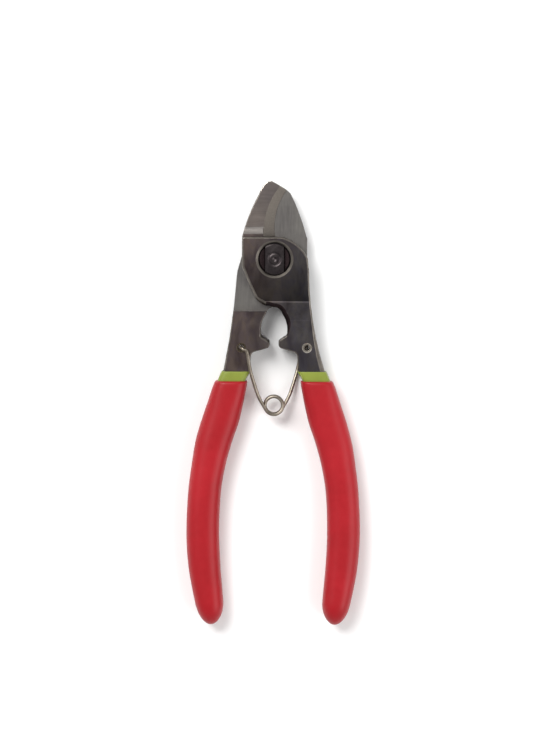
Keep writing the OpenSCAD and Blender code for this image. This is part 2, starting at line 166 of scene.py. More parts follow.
class Tree:
    """Short ways to build a material's nodes."""

    def __init__(self, name, base, metallic, roughness):
        self.material = bpy.data.materials.new(name)
        self.material.use_nodes = True
        self.tree = self.material.node_tree
        self.nodes, self.links = self.tree.nodes, self.tree.links
        self.shader = self.nodes["Principled BSDF"]
        self.shader.inputs["Base Color"].default_value = (*base, 1)
        self.shader.inputs["Metallic"].default_value = metallic
        self.shader.inputs["Roughness"].default_value = roughness
        self.place = self.nodes.new("ShaderNodeTexCoord").outputs["Object"]

    def set(self, **values):
        for name, value in values.items():
            self.shader.inputs[name.replace("_", " ")].default_value = value

    def scaled(self, scale, turn=0.0):
        m = self.nodes.new("ShaderNodeMapping")
        m.inputs["Scale"].default_value = scale
        m.inputs["Rotation"].default_value = (0, 0, math.radians(turn))
        self.links.new(self.place, m.inputs["Vector"])
        return m.outputs["Vector"]

    def noise(self, scale, detail=4.0, rough=0.55, stretch=(1, 1, 1), turn=0.0, warp=0.0):
        """Noise whose grain is 1 / scale mm, as a value from 0 to 1."""
        n = self.nodes.new("ShaderNodeTexNoise")
        n.inputs["Scale"].default_value = scale * 1000
        n.inputs["Detail"].default_value = detail
        n.inputs["Roughness"].default_value = rough
        n.inputs["Distortion"].default_value = warp
        self.links.new(self.scaled(stretch, turn), n.inputs["Vector"])
        return n.outputs["Fac"]

    def along(self, axis, low, high):
        """Share of the way from low to high along an axis of the row frame, in mm from the pivot."""
        split = self.nodes.new("ShaderNodeSeparateXYZ")
        self.links.new(self.place, split.inputs[0])
        m = self.nodes.new("ShaderNodeMapRange")
        m.inputs["From Min"].default_value = PIVOT[axis] + low * MM
        m.inputs["From Max"].default_value = PIVOT[axis] + high * MM
        self.links.new(split.outputs[axis], m.inputs["Value"])
        return m.outputs["Result"]

    def ramp(self, value, stops):
        r = self.nodes.new("ShaderNodeValToRGB")
        while len(r.color_ramp.elements) < len(stops):
            r.color_ramp.elements.new(0.5)
        for element, (at, colour) in zip(r.color_ramp.elements, stops):
            element.position = at
            element.color = (*colour, 1) if isinstance(colour, tuple) else (colour, colour, colour, 1)
        self.links.new(value, r.inputs["Fac"])
        return r.outputs["Color"]

    def math(self, kind, a, b):
        m = self.nodes.new("ShaderNodeMath")
        m.operation = kind
        for socket, value in zip(m.inputs, (a, b)):
            if isinstance(value, (int, float)):
                socket.default_value = value
            else:
                self.links.new(value, socket)
        return m.outputs[0]

    def tinted(self, share, a, b):
        """Colour a multiplied by colour b, to the given share."""
        m = self.nodes.new("ShaderNodeMix")
        m.data_type, m.blend_type = "RGBA", "MULTIPLY"
        m.inputs["Factor"].default_value = share
        self.links.new(a, m.inputs[6])
        self.links.new(b, m.inputs[7])
        return m.outputs[2]

    def colour(self, value):
        self.links.new(value, self.shader.inputs["Base Color"])

    def roughness(self, value, low, high):
        m = self.nodes.new("ShaderNodeMapRange")
        m.inputs["To Min"].default_value, m.inputs["To Max"].default_value = low, high
        self.links.new(value, m.inputs["Value"])
        self.links.new(m.outputs["Result"], self.shader.inputs["Roughness"])

    def bump(self, *layers):
        """Layers of (height value, depth in mm); the normals add up."""
        normal = None
        for value, depth in layers:
            b = self.nodes.new("ShaderNodeBump")
            b.inputs["Strength"].default_value = 1.0
            b.inputs["Distance"].default_value = depth * MM
            self.links.new(value, b.inputs["Height"])
            if normal is not None:
                self.links.new(normal, b.inputs["Normal"])
            normal = b.outputs["Normal"]
        self.links.new(normal, self.shader.inputs["Normal"])


def forged_steel_painted_light(name, paints_neck_light):
    """Dark forged skin with painted light: lighter and warmer towards -x, darker and cooler towards +x; on an
    upper face of the neck, a darker foot of the boss as painted shade, a painted highlight along the slope's
    top edge and a paler slope.
    """
    t = Tree(name, (0.1, 0.09, 0.085), 1.0, 0.4)
    cloud = t.noise(0.16, 3, 0.5, (1.6, 0.7, 1), warp=0.6)
    stain = t.noise(0.45, 5, 0.6, (1, 0.55, 1), warp=1.2)
    fine = t.noise(5.0, 5, 0.65)
    strokes = t.noise(2.4, 4, 0.6, (1, 0.06, 1), turn=4)
    tone = t.ramp(cloud, [
        (0.30, (0.060, 0.051, 0.052)), (0.5, (0.086, 0.076, 0.073)), (0.72, (0.112, 0.099, 0.089)),
    ])
    warm = t.ramp(stain, [(0.35, (0.90, 0.88, 1.0)), (0.6, (1.0, 0.96, 0.90))])
    base = t.tinted(0.8, tone, warm)
    # Painted light: lighter and warmer towards -x, darker and cooler towards +x, across both levers
    side = t.ramp(t.along(0, -9, 7), [
        (0.0, (1.22, 1.08, 1.04)), (0.5, (1.0, 0.97, 0.97)), (1.0, (0.90, 0.95, 1.02)),
    ])
    base = t.tinted(1.0, base, side)
    if paints_neck_light:
        # Painted light on the neck: a darker foot of the boss as painted shade, a painted highlight along the
        # slope's top edge, a paler slope and a fainter highlight at its foot
        painted_neck_light = t.ramp(t.along(1, SLOPE_END, NECK_HIGH), [
            (0.0, 1.0), (0.012, 1.25), (0.03, 1.12), (0.26, 1.05), (0.268, 1.9), (0.277, 1.9),
            (0.285, 0.34), (0.55, 0.52), (1.0, 1.0),
        ])
        base = t.tinted(1.0, base, painted_neck_light)
    grain = t.ramp(fine, [(0.35, 0.78), (0.65, 1.12)])
    t.colour(t.tinted(0.55, base, grain))
    t.roughness(t.math("ADD", t.math("MULTIPLY", fine, 0.5), t.math("MULTIPLY", cloud, 0.5)), 0.26, 0.52)
    t.bump((cloud, 0.05), (strokes, 0.006), (fine, 0.007))
    return t.material


def ground_steel():
    """Blade face: long, fine grinding lines across it."""
    t = Tree("ground_steel", (0.36, 0.33, 0.31), 1.0, 0.34)
    lines = t.noise(3.2, 6, 0.7, (0.045, 1, 1), turn=-9)
    deep = t.noise(1.1, 3, 0.6, (0.03, 1, 1), turn=-9)
    cloud = t.noise(0.12, 2, 0.5, warp=0.4)
    tone = t.ramp(cloud, [(0.3, (0.126, 0.108, 0.102)), (0.7, (0.165, 0.140, 0.125))])
    streak = t.ramp(lines, [(0.3, 0.80), (0.7, 1.12)])
    t.colour(t.tinted(0.7, tone, streak))
    t.roughness(lines, 0.26, 0.46)
    t.bump((deep, 0.004), (lines, 0.006))
    return t.material


def band_steel():
    """Run-out of the grinding wheel at the foot of a blade."""
    t = Tree("band_steel", (0.3, 0.275, 0.255), 1.0, 0.42)
    lines = t.noise(3.0, 5, 0.65, (0.06, 1, 1))
    t.colour(t.ramp(lines, [(0.3, (0.115, 0.105, 0.098)), (0.7, (0.16, 0.146, 0.136))]))
    t.roughness(lines, 0.36, 0.5)
    t.bump((lines, 0.004))
    return t.material


def hollow_steel():
    """Matt hollow grind beside the cutting edge."""
    t = Tree("hollow_steel", (0.2, 0.18, 0.16), 1.0, 0.5)
    lines = t.noise(3.4, 5, 0.65, (0.08, 1, 1), turn=-20)
    t.colour(t.ramp(lines, [(0.3, (0.122, 0.108, 0.094)), (0.7, (0.160, 0.142, 0.124))]))
    t.roughness(lines, 0.42, 0.56)
    t.bump((lines, 0.004))
    return t.material


def lap_steel():
    """Flat face where the two levers lie on each other."""
    t = Tree("lap_steel", (0.33, 0.315, 0.33), 1.0, 0.34)
    lines = t.noise(3.0, 5, 0.7, (1, 0.05, 1), turn=12)
    cloud = t.noise(0.2, 3, 0.5, warp=0.4)
    tone = t.ramp(cloud, [(0.3, (0.180, 0.168, 0.160)), (0.7, (0.232, 0.220, 0.202))])
    t.colour(t.tinted(0.6, tone, t.ramp(lines, [(0.3, 0.84), (0.7, 1.1)])))
    t.roughness(lines, 0.28, 0.45)
    t.bump((lines, 0.005))
    return t.material


def glint_and_polish_steel():
    """Bright steel: countersinks polished by use, and a painted highlight on the chamfer at each blade's tip.
    """
    t = Tree("glint_and_polish_steel", (0.62, 0.58, 0.53), 1.0, 0.24)
    lines = t.noise(3.6, 5, 0.65, (1, 0.5, 1))
    cloud = t.noise(0.35, 3, 0.5)
    tone = t.ramp(cloud, [(0.3, (0.46, 0.42, 0.375)), (0.7, (0.66, 0.62, 0.56))])
    t.colour(t.tinted(0.5, tone, t.ramp(lines, [(0.3, 0.82), (0.7, 1.08)])))
    t.roughness(lines, 0.17, 0.34)
    t.bump((lines, 0.003))
    return t.material


def edge_steel():
    """Chamfers, rubbed brighter than the skin beside them."""
    t = Tree("edge_steel", (0.27, 0.25, 0.235), 1.0, 0.3)
    fine = t.noise(3.5, 5, 0.6)
    cloud = t.noise(0.3, 3, 0.5)
    t.colour(t.ramp(cloud, [(0.3, (0.095, 0.083, 0.074)), (0.7, (0.19, 0.17, 0.148))]))
    t.roughness(fine, 0.24, 0.42)
    t.bump((fine, 0.005))
    return t.material


def pivot_steel():
    """Blackened bolt, nut and washer."""
    t = Tree("pivot_steel", (0.17, 0.155, 0.155), 1.0, 0.35)
    fine = t.noise(4.0, 5, 0.65)
    cloud = t.noise(0.4, 4, 0.6, warp=0.8)
    tone = t.ramp(cloud, [(0.3, (0.030, 0.024, 0.026)), (0.7, (0.058, 0.050, 0.050))])
    t.colour(t.tinted(0.6, tone, t.ramp(fine, [(0.35, 0.75), (0.65, 1.15)])))
    t.roughness(fine, 0.25, 0.5)
    t.bump((cloud, 0.02), (fine, 0.008))
    return t.material


def painted_shade_steel():
    """Almost black steel as painted shade, in the chamfer of the eye and the wrench recesses of the bolt and
    nut.
    """
    t = Tree("painted_shade_steel", (0.022, 0.014, 0.015), 1.0, 0.55)
    fine = t.noise(4.0, 4, 0.6)
    t.colour(t.ramp(fine, [(0.35, (0.016, 0.010, 0.011)), (0.65, (0.034, 0.024, 0.025))]))
    t.roughness(fine, 0.45, 0.65)
    t.bump((fine, 0.008))
    return t.material


def spring_wire():
    """Drawn wire with a warm tarnish."""
    t = Tree("spring_wire", (0.42, 0.38, 0.33), 1.0, 0.33)
    fine = t.noise(4.5, 5, 0.65)
    cloud = t.noise(0.4, 3, 0.5)
    tone = t.ramp(cloud, [(0.3, (0.2, 0.17, 0.135)), (0.7, (0.32, 0.28, 0.23))])
    t.colour(t.tinted(0.5, tone, t.ramp(fine, [(0.35, 0.8), (0.65, 1.1)])))
    t.roughness(fine, 0.28, 0.46)
    t.bump((fine, 0.006))
    return t.material


def soft_vinyl(name, low, mid, high, depth):
    """Dipped vinyl: mottled colour, orange peel and a thin gloss."""
    t = Tree(name, mid, 0.0, 0.42)
    t.set(Specular_IOR_Level=0.24, Coat_Weight=0.03, Coat_Roughness=0.3)
    cloud = t.noise(0.07, 3, 0.5, warp=0.5)
    mottle = t.noise(0.6, 4, 0.6)
    peel = t.noise(1.6, 3, 0.5)
    fine = t.noise(7.0, 3, 0.6)
    tone = t.ramp(cloud, [(0.3, low), (0.52, mid), (0.75, high)])
    t.colour(t.tinted(0.35, tone, t.ramp(mottle, [(0.3, 0.88), (0.7, 1.06)])))
    t.roughness(mottle, 0.36, 0.5)
    t.bump((cloud, depth), (peel, 0.02), (fine, 0.004))
    return t.material


# The second forged steel also carries the painted light of the neck
FORGED, FORGED_NECK = forged_steel_painted_light("forged_steel_painted_light", False), forged_steel_painted_light("forged_steel_painted_neck", True)
GROUND, LAP, BAND, EDGE = ground_steel(), lap_steel(), band_steel(), edge_steel()
HOLLOW, BRIGHT = hollow_steel(), glint_and_polish_steel()
PIVOT_STEEL, RECESS, WIRE = pivot_steel(), painted_shade_steel(), spring_wire()
RED = soft_vinyl(
    "grip_vinyl", (0.285, 0.005, 0.009), (0.32, 0.006, 0.011), (0.355, 0.008, 0.014), 0.06,
)
GREEN = soft_vinyl(
    "undercoat_vinyl", (0.17, 0.205, 0.030), (0.197, 0.236, 0.036), (0.225, 0.265, 0.044), 0.02,
)


# ---------------------------------------------------------------- mesh helpers

def add_object(name, mesh, materials, body, slot, *nodes):
    """A finished piece on its body, in place of the CAD nodes that it stands for."""
    for m in materials:
        mesh.materials.append(m)
    o = bpy.data.objects.new(name, mesh)
    bpy.context.scene.collection.objects.link(o)
    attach(o, body)
    if nodes:
        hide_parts(*nodes)
    return o


def mesh_of(name, points, faces, smooth_angle=35.0):
    """A mesh with outward normals, smooth apart from its sharp edges."""
    mesh = bpy.data.meshes.new(name)
    mesh.from_pydata([tuple(p) for p in points], [], faces)
    mesh.validate()
    bm = bmesh.new()
    bm.from_mesh(mesh)
    bmesh.ops.recalc_face_normals(bm, faces=bm.faces)
    bm.to_mesh(mesh)
    bm.free()
    mesh.shade_smooth()
    mesh.set_sharp_from_angle(angle=math.radians(smooth_angle))
    return mesh


def loft(name, rings, turned, smooth_angle=35.0):
    """A closed skin over rings of points in a lever's own drawing, with a fan at each end."""
    count = len(rings[0])
    points = [place(p, turned) for ring in rings for p in ring]
    faces = []
    for i in range(len(rings) - 1):
        for k in range(count):
            n = (k + 1) % count
            a, b = i * count, (i + 1) * count
            faces.append((a + k, a + n, b + n, b + k))
    for ring, first in ((rings[0], 0), (rings[-1], (len(rings) - 1) * count)):
        points.append(place(sum((Vector(p) for p in ring), Vector()) / count, turned))
        faces += [(first + k, first + (k + 1) % count, len(points) - 1) for k in range(count)]
    return mesh_of(name, points, faces, smooth_angle)


# ---------------------------------------------------------------- levers
# Built as solids in a lever's own drawing, in mm, and put in the row frame at the end

class Steel:
    """Index of each steel in LEVER_MATERIALS."""

    FORGED, GROUND, LAP, BAND, EDGE, HOLLOW, BRIGHT, RECESS, NECK = range(9)


LEVER_MATERIALS = (FORGED, GROUND, LAP, BAND, EDGE, HOLLOW, BRIGHT, RECESS, FORGED_NECK)


def arc_points(a, b, sag):
    """Points along an arc from a to b, without b itself, that bulges to the left by sag."""
    a, b = Vector(a), Vector(b)
    if sag == 0:
        return [a]
    chord = (b - a).length
    r = (chord * chord / 4 + sag * sag) / (2 * abs(sag))
    side = math.copysign(1, sag)
    along = (b - a) / chord
    centre = (a + b) / 2 - Vector((-along.y, along.x)) * side * (r - abs(sag))
    start = math.atan2(a.y - centre.y, a.x - centre.x)
    sweep = -2 * math.asin(min(1, chord / (2 * r))) * side
    steps = max(2, math.ceil(abs(math.degrees(sweep)) / ARC_STEP))
    angles = [start + sweep * k / steps for k in range(steps)]
    return [centre + r * Vector((math.cos(t), math.sin(t))) for t in angles]


def outline(corners):
    """A closed outline through corners of (x, y, bulge of the side that follows)."""
    points = []
    for (ax, ay, sag), (bx, by, _) in zip(corners, corners[1:] + corners[:1]):
        points += arc_points((ax, ay), (bx, by), sag)
    return points


def lever_outline(waist, waist_sag, eye):
    """Boss, shank, tang, stop nose and half of the eye, as in the part's own drawing."""
    places = [mix(UNDERCOAT_START, TANG_REACH, k / 14) for k in range(15)]
    outer, inner = ([(handle(d, 1) + s * handle(d, 3), -d, 0) for d in places] for s in (1, -1))
    boss = [
        (-BOSS_SIDE, -2.2, 0), (-BOSS_SIDE, BOSS_TOP - 0.6, 0.15), (0.6 - BOSS_SIDE, BOSS_TOP, 0),
        (1.8, BOSS_TOP, 1.15), (9.7, 0.2, 0), (waist, -4, waist_sag),
    ]
    nose_and_eye = [
        (6.8, -28.8, -0.45), (5.4, -27, 0), (STOP_HALF_GAP + 0.9, -26.1, 0.2), (STOP_HALF_GAP, -25.2, 0.05),
        (STOP_HALF_GAP, -23.9, 0.05), (eye - 0.8, -22.7, -0.25), (eye, -21.5, -0.5), (0.62 * eye, -16, -0.6),
        (-0.2, -14.1, -0.1), (-2.5, -13.6, 0.15), (-3.9, -12.8, 0.1), (-5.45, -11.4, 0.15),
    ]
    return outline(boss + outer + inner[::-1] + nose_and_eye)


def on_outside(m):
    """Whether a point of the outline below the boss is on the side away from the other handle."""
    return m.x > (INSIDE_REACH if m.y > -UNDERCOAT_START else handle(-m.y, 1))


def top_rim(m):
    """Width of the chamfer on the boss side of a lever, at a point of its outline."""
    x, y = m
    if y < BOSS_FOOT:
        if on_outside(m):
            return mix(RIM, TANG_RIM, eased(y, -16, -32))
        if y < EYE_TOP:
            return mix(FINE_RIM, EYE_RIM, eased(y, -22.6, -18.1))
        return mix(EYE_RIM, BOSS_RIM, eased(y, -13.5, -11))
    return mix(BOSS_RIM, RIM, eased(y, 4.4, 5.9)) if x < -4 else RIM


def under_rim(m):
    """Width of the chamfer on the lap side of a lever below its recess."""
    if on_outside(m):
        return mix(FINE_RIM, UNDER_TANG_RIM, eased(m.y, -18, -32))
    return mix(FINE_RIM, NOSE_RIM, eased(abs(m.y - NOSE_MIDDLE), 1.6, 0.6))


def rim_steel(m, upper):
    """The steel of a chamfer at a point of the outline: almost black painted shade in the eye, worn
    elsewhere.
    """
    in_eye = -2.4 < m.x < 6.5 and -22.3 < m.y < -12.8
    return Steel.RECESS if upper and in_eye else Steel.EDGE


def inward(points):
    """For each corner of an outline, the step that moves both its sides in by one."""
    following = points[1:] + points[:1]
    area = sum(p.x * q.y - q.x * p.y for p, q in zip(points, following))
    side = math.copysign(1, area)
    steps = []
    for k, (point, after) in enumerate(zip(points, following)):
        headings = (point - points[k - 1]).normalized(), (after - point).normalized()
        a, b = (Vector((-d.y, d.x)) * side for d in headings)
        steps.append((a + b) / (1 + a.dot(b)))
    return steps


def prism(points, low, high, top_width=None, low_width=None):
    """An upright solid over an outline, with a softened chamfer of changing width on its rims."""
    points = [q for k, q in enumerate(points) if (q - points[k - 1]).length > 1e-4]
    bm = bmesh.new()
    steps = inward(points)
    rings, on_rim = [], []
    for level, towards, width in ((low, 1, low_width), (high, -1, top_width)):
        widths = [width(p) if width else 0 for p in points]
        shares = [1 - k / RIM_STEPS for k in range(RIM_STEPS + 1)] if width else [1.0]
        made = []
        for t in shares:
            depth = mix(1 - t, 1 - math.sin(t * math.pi / 2), RIM_CROWN)
            inset = mix(t, 1 - math.cos(t * math.pi / 2), RIM_CROWN)
            made.append([
                bm.verts.new((*(p + s * (w * inset)), level + towards * w * depth))
                for p, s, w in zip(points, steps, widths)
            ])
        rings += made if towards > 0 else made[::-1]
        on_rim += [bool(width)] * (len(made) - 1) + ([False] if towards > 0 else [])
    count = len(points)
    for a, b, rim in zip(rings, rings[1:], on_rim):
        upper = a[0].co.z > (low + high) / 2
        for k in range(count):
            n = (k + 1) % count
            steel = rim_steel((points[k] + points[n]) / 2, upper) if rim else Steel.FORGED
            bm.faces.new((a[k], a[n], b[n], b[k])).material_index = steel
    bm.faces.new(rings[0][::-1])
    bm.faces.new(rings[-1])
    return solid_object(bm)


def solid_object(bm):
    """A working object from a closed mesh that is still being built."""
    bmesh.ops.recalc_face_normals(bm, faces=bm.faces)
    mesh = bpy.data.meshes.new("working")
    bm.to_mesh(mesh)
    bm.free()
    for material in LEVER_MATERIALS:
        mesh.materials.append(material)
    o = bpy.data.objects.new("working", mesh)
    bpy.context.scene.collection.objects.link(o)
    return o


def lathe(profile, centre, segments):
    """A solid turned about an upright axis from a profile of (radius, height), from axis to axis."""
    bm = bmesh.new()
    rings = []
    turn = [2 * math.pi * k / segments for k in range(segments)]
    for r, z in profile:
        corners = [(centre[0] + r * math.cos(a), centre[1] + r * math.sin(a), z) for a in turn] if r else []
        rings.append([bm.verts.new(c) for c in corners or [(*centre, z)]])
    for a, b in zip(rings, rings[1:]):
        for k in range(segments):
            n = (k + 1) % segments
            face = [a[k % len(a)], a[n % len(a)], b[n % len(b)], b[k % len(b)]]
            bm.faces.new([v for i, v in enumerate(face) if v not in face[:i]])
    return solid_object(bm)


def grinding_cutter():
    """The wheel's sweep over the blade: a rounded run-out, then a slope to the tip."""
    reach, top, half_width = 50, 30, 40
    centre = Vector((GRIND_Y, GROUND_THICKNESS + GRIND_RADIUS))
    turn = [math.radians(a) for a in range(180, 268, 3)]
    section = [centre + GRIND_RADIUS * Vector((math.cos(a), math.sin(a))) for a in turn]
    section.append(section[-1] + reach * Vector((math.cos(GRIND_SLOPE), -math.sin(GRIND_SLOPE))))
    section += [Vector((section[-1].x, top)), Vector((GRIND_Y - GRIND_RADIUS, top))]
    bm = bmesh.new()
    left, right = ([bm.verts.new((x, p.x, p.y)) for p in section] for x in (-half_width, half_width))
    bm.faces.new(left)
    bm.faces.new(right[::-1])
    for k in range(len(section)):
        n = (k + 1) % len(section)
        bm.faces.new((left[k], right[k], right[n], left[n]))
    return solid_object(bm)


def settled(o):
    """The object with its modifiers worked into a new mesh."""
    final = bpy.data.meshes.new_from_object(o.evaluated_get(bpy.context.evaluated_depsgraph_get()))
    o.modifiers.clear()
    o.data = final
    return o


def combined(o, other, operation):
    """The object joined with another, or cut by it; the other one is used up."""
    m = o.modifiers.new("cut", "BOOLEAN")
    m.operation, m.object, m.solver = operation, other, "EXACT"
    settled(o)
    bpy.data.objects.remove(other)
    return o


def blade_rims(bm, centre, top_of_bevel):
    """The long edges between a blade's ground face and its side walls, away from the cutting edge."""
    wall, flat, landing, above_lap = 0.2, 0.8, 1.2, 0.5
    for e in bm.edges:
        m = (e.verts[0].co + e.verts[1].co) / 2
        away = math.hypot(m.x - centre[0], m.y - centre[1])
        if len(e.link_faces) == 2 and m.z >= above_lap and m.y >= BOSS_TOP and away >= top_of_bevel - landing:
            steepest, flattest = sorted(abs(f.normal.z) for f in e.link_faces)
            if steepest < wall and flattest > flat:
                yield e


def blade_solid(corners, centre, radius):
    """A blade with its hollow-ground cutting edge on a circle, its ground face and its worn rims."""
    below, above, facets, weld = -1, 8, 360, 0.004
    o = prism(outline(corners), HALF_LAP, BLADE_THICKNESS)
    top_of_bevel = radius + BEVEL_WIDTH
    combined(o, lathe([
        (0, below), (radius, below), (radius, HALF_LAP + EDGE_LAND),
        (top_of_bevel, HALF_LAP + GROUND_THICKNESS), (top_of_bevel, above), (0, above),
    ], centre, facets), "DIFFERENCE")
    combined(o, grinding_cutter(), "DIFFERENCE")
    bm = bmesh.new()
    bm.from_mesh(o.data)
    bmesh.ops.remove_doubles(bm, verts=bm.verts, dist=weld)
    bmesh.ops.dissolve_limit(bm, angle_limit=math.radians(0.3), verts=bm.verts, edges=bm.edges)
    bm.normal_update()
    weight = bm.edges.layers.float.new("bevel_weight_edge")
    for e in blade_rims(bm, centre, top_of_bevel):
        e[weight] = BLADE_RIM
    bm.to_mesh(o.data)
    bm.free()
    bevel = o.modifiers.new("rims", "BEVEL")
    bevel.limit_method = "WEIGHT"
    bevel.width = 1.0
    bevel.segments = 3
    bevel.profile = 0.42
    bevel.use_clamp_overlap = False
    bevel.loop_slide = False
    bevel.material = Steel.EDGE
    return settled(o)


def shank_height(y):
    """Height of the lever's upper face: boss, slope and shank."""
    return mix(HALF_SHANK, BOSS_THICKNESS, max(0.0, min(1.0, (y - SLOPE_END) / (SLOPE_START - SLOPE_END))))


def body_solid(waist, waist_sag, eye):
    """Boss, neck, shank and tang in one, with the recess that the other lever's boss lies in."""
    far, below, above_lap = 60, -20, 0.5
    o = prism(lever_outline(waist, waist_sag, eye), -HALF_SHANK, BOSS_THICKNESS, top_rim, under_rim)
    bm = bmesh.new()
    bm.from_mesh(o.data)
    for y in (SLOPE_START, SLOPE_END):
        everything = bm.verts[:] + bm.edges[:] + bm.faces[:]
        bmesh.ops.bisect_plane(bm, geom=everything, dist=1e-4, plane_co=(0, y, 0), plane_no=(0, 1, 0))
    for v in bm.verts:
        if v.co.z > above_lap:
            v.co.z += shank_height(v.co.y) - BOSS_THICKNESS
    bm.to_mesh(o.data)
    bm.free()
    recess = [Vector(c) for c in ((-far, RECESS_END), (far, RECESS_END), (far, far), (-far, far))]
    return combined(o, prism(recess, below, HALF_LAP), "DIFFERENCE")


def lever_steel(c, n):
    """The steel of a face, from its middle and its direction."""
    wall, slope, flat = 0.2, 0.93, 0.95
    by_hole = math.hypot(c.x - HOLE[0], c.y - HOLE[1]) < COUNTERSINK_RADIUS + 0.15
    by_pivot = math.hypot(c.x, c.y) < MOUTH_RADIUS + 0.1
    if n.z < -0.9 and abs(c.z) < 0.2:
        return Steel.LAP
    if by_hole and abs(n.z) < flat:
        return Steel.BRIGHT if abs(n.z) > wall else Steel.FORGED
    if by_pivot and n.z < flat:
        return Steel.EDGE if n.z > wall else Steel.FORGED
    if c.y > BOSS_TOP + 0.05 and n.z > wall:
        in_run_out = n.y > math.sin(1.5 * GRIND_SLOPE) and abs(n.x) < 0.02
        if n.z < slope and abs(n.x) > 0.1:
            return Steel.HOLLOW
        if n.z < slope or in_run_out:
            return Steel.BAND
        return Steel.GROUND if c.y > BOSS_TOP + 1.2 else Steel.FORGED
    # Upper faces take the forged steel with painted light on the neck
    return Steel.NECK if n.z > 0.5 and c.z > 1 else Steel.FORGED


def shaded(bm):
    """Gives each face its steel and each edge its sharpness."""
    glint_y, glint_x = 19.8, -1
    rim_limit, plain_limit = math.radians(48), math.radians(8)
    for f in bm.faces:
        c = f.calc_center_median()
        f.tag = f.material_index in (Steel.EDGE, Steel.RECESS)
        if not f.tag:
            f.material_index = lever_steel(c, f.normal)
        # A painted highlight: the chamfer at the blade's tip gets the bright steel
        elif c.y > glint_y and c.x < glint_x:
            f.material_index = Steel.BRIGHT
        f.smooth = True
    for e in bm.edges:
        if len(e.link_faces) == 2:
            limit = rim_limit if any(f.tag for f in e.link_faces) else plain_limit
            e.smooth = e.calc_face_angle(0.0) < limit


def lever(node, turned, waist, waist_sag, eye, corners, centre, radius, bore):
    """A whole lever: body and blade joined, then drilled for the pivot and the spring."""
    far, above, weld = 10, 8, 0.002
    o = body_solid(waist, waist_sag, eye)
    combined(o, blade_solid(corners, centre, radius), "UNION")
    floor_z = BOSS_THICKNESS - COUNTERBORE_DEPTH
    combined(o, lathe([
        (0, -far), (bore, -far), (bore, floor_z), (COUNTERBORE_RADIUS, floor_z),
        (COUNTERBORE_RADIUS, BOSS_THICKNESS - MOUTH_DEPTH), (MOUTH_RADIUS, BOSS_THICKNESS),
        (MOUTH_RADIUS, above), (0, above),
    ], (0, 0), 120), "DIFFERENCE")
    combined(o, lathe([
        (0, -far), (COUNTERSINK_RADIUS, -far), (COUNTERSINK_RADIUS, -HALF_SHANK),
        (HOLE_RADIUS, COUNTERSINK_DEPTH - HALF_SHANK), (HOLE_RADIUS, HALF_SHANK - COUNTERSINK_DEPTH),
        (COUNTERSINK_RADIUS, HALF_SHANK), (COUNTERSINK_RADIUS, far), (0, far),
    ], HOLE, 48), "DIFFERENCE")
    bm = bmesh.new()
    bm.from_mesh(o.data)
    bpy.data.objects.remove(o)
    bmesh.ops.remove_doubles(bm, verts=bm.verts, dist=weld)
    bm.normal_update()
    shaded(bm)
    for v in bm.verts:
        v.co = place(v.co, turned)
    mesh = bpy.data.meshes.new(node + "_steel")
    bm.to_mesh(mesh)
    bm.free()
    piece = add_object(node + "_steel", mesh, LEVER_MATERIALS, node + "_body", "lever_steel", node)
    even = piece.modifiers.new("even", "WEIGHTED_NORMAL")
    even.keep_sharp = True
    even.weight = 50


lever(
    "front_lever", False, 10.1, -1.1, 3.8,
    [(-9.1, 5.2, 0), (-BOSS_SIDE, 6.5, 0.4), (-4.65, 18.8, 0.28), (-2.4, 22.4, 0.1), (-0.9, 22.7, 0.1),
     (5, 19.1, 0), (5, 5.2, 0)],
    (18.2, 9.25), 18.3, 3.55,
)
lever(
    "rear_lever", True, 10.9, -0.5, 3.9,
    [(-9.1, 5.2, 0), (-9.25, 6.5, 0.35), (-4.7, 18.8, 0.35), (-1.5, 20.9, 0.1), (0.9, 21.3, 0),
     (3.5, 20.6, 0), (3.5, 5.2, 0)],
    (17.05, 13.65), 17.2, 3.52,
)


# ---------------------------------------------------------------- pivot

def head_height(x, y, face, marked):
    """Height of the bolt's or nut's face above the lap plane: crowned bar, wrench recesses, turning marks."""
    r = math.hypot(x, y)
    top = face - FACE_GAP - HEAD_CROWN * (r / HEAD_RADIUS) ** 2
    if marked:
        top -= RING_DEPTH * math.exp(-((r - RING_RADIUS) / RING_WIDTH) ** 2)
        top -= MARK_DEPTH * math.exp(-(r / MARK_WIDTH) ** 2)
    recess = face - FLAT_DEPTH + FLAT_RISE * eased(abs(x), FLAT_HALF_WIDTH, FLAT_HALF_WIDTH + 1.5)
    wall = eased(abs(x), FLAT_HALF_WIDTH - FLAT_SLOPE, FLAT_HALF_WIDTH + FLAT_SLOPE)
    return mix(top, recess, wall) - max(0.0, r - HEAD_RADIUS + HEAD_CHAMFER) * CHAMFER_SLOPE


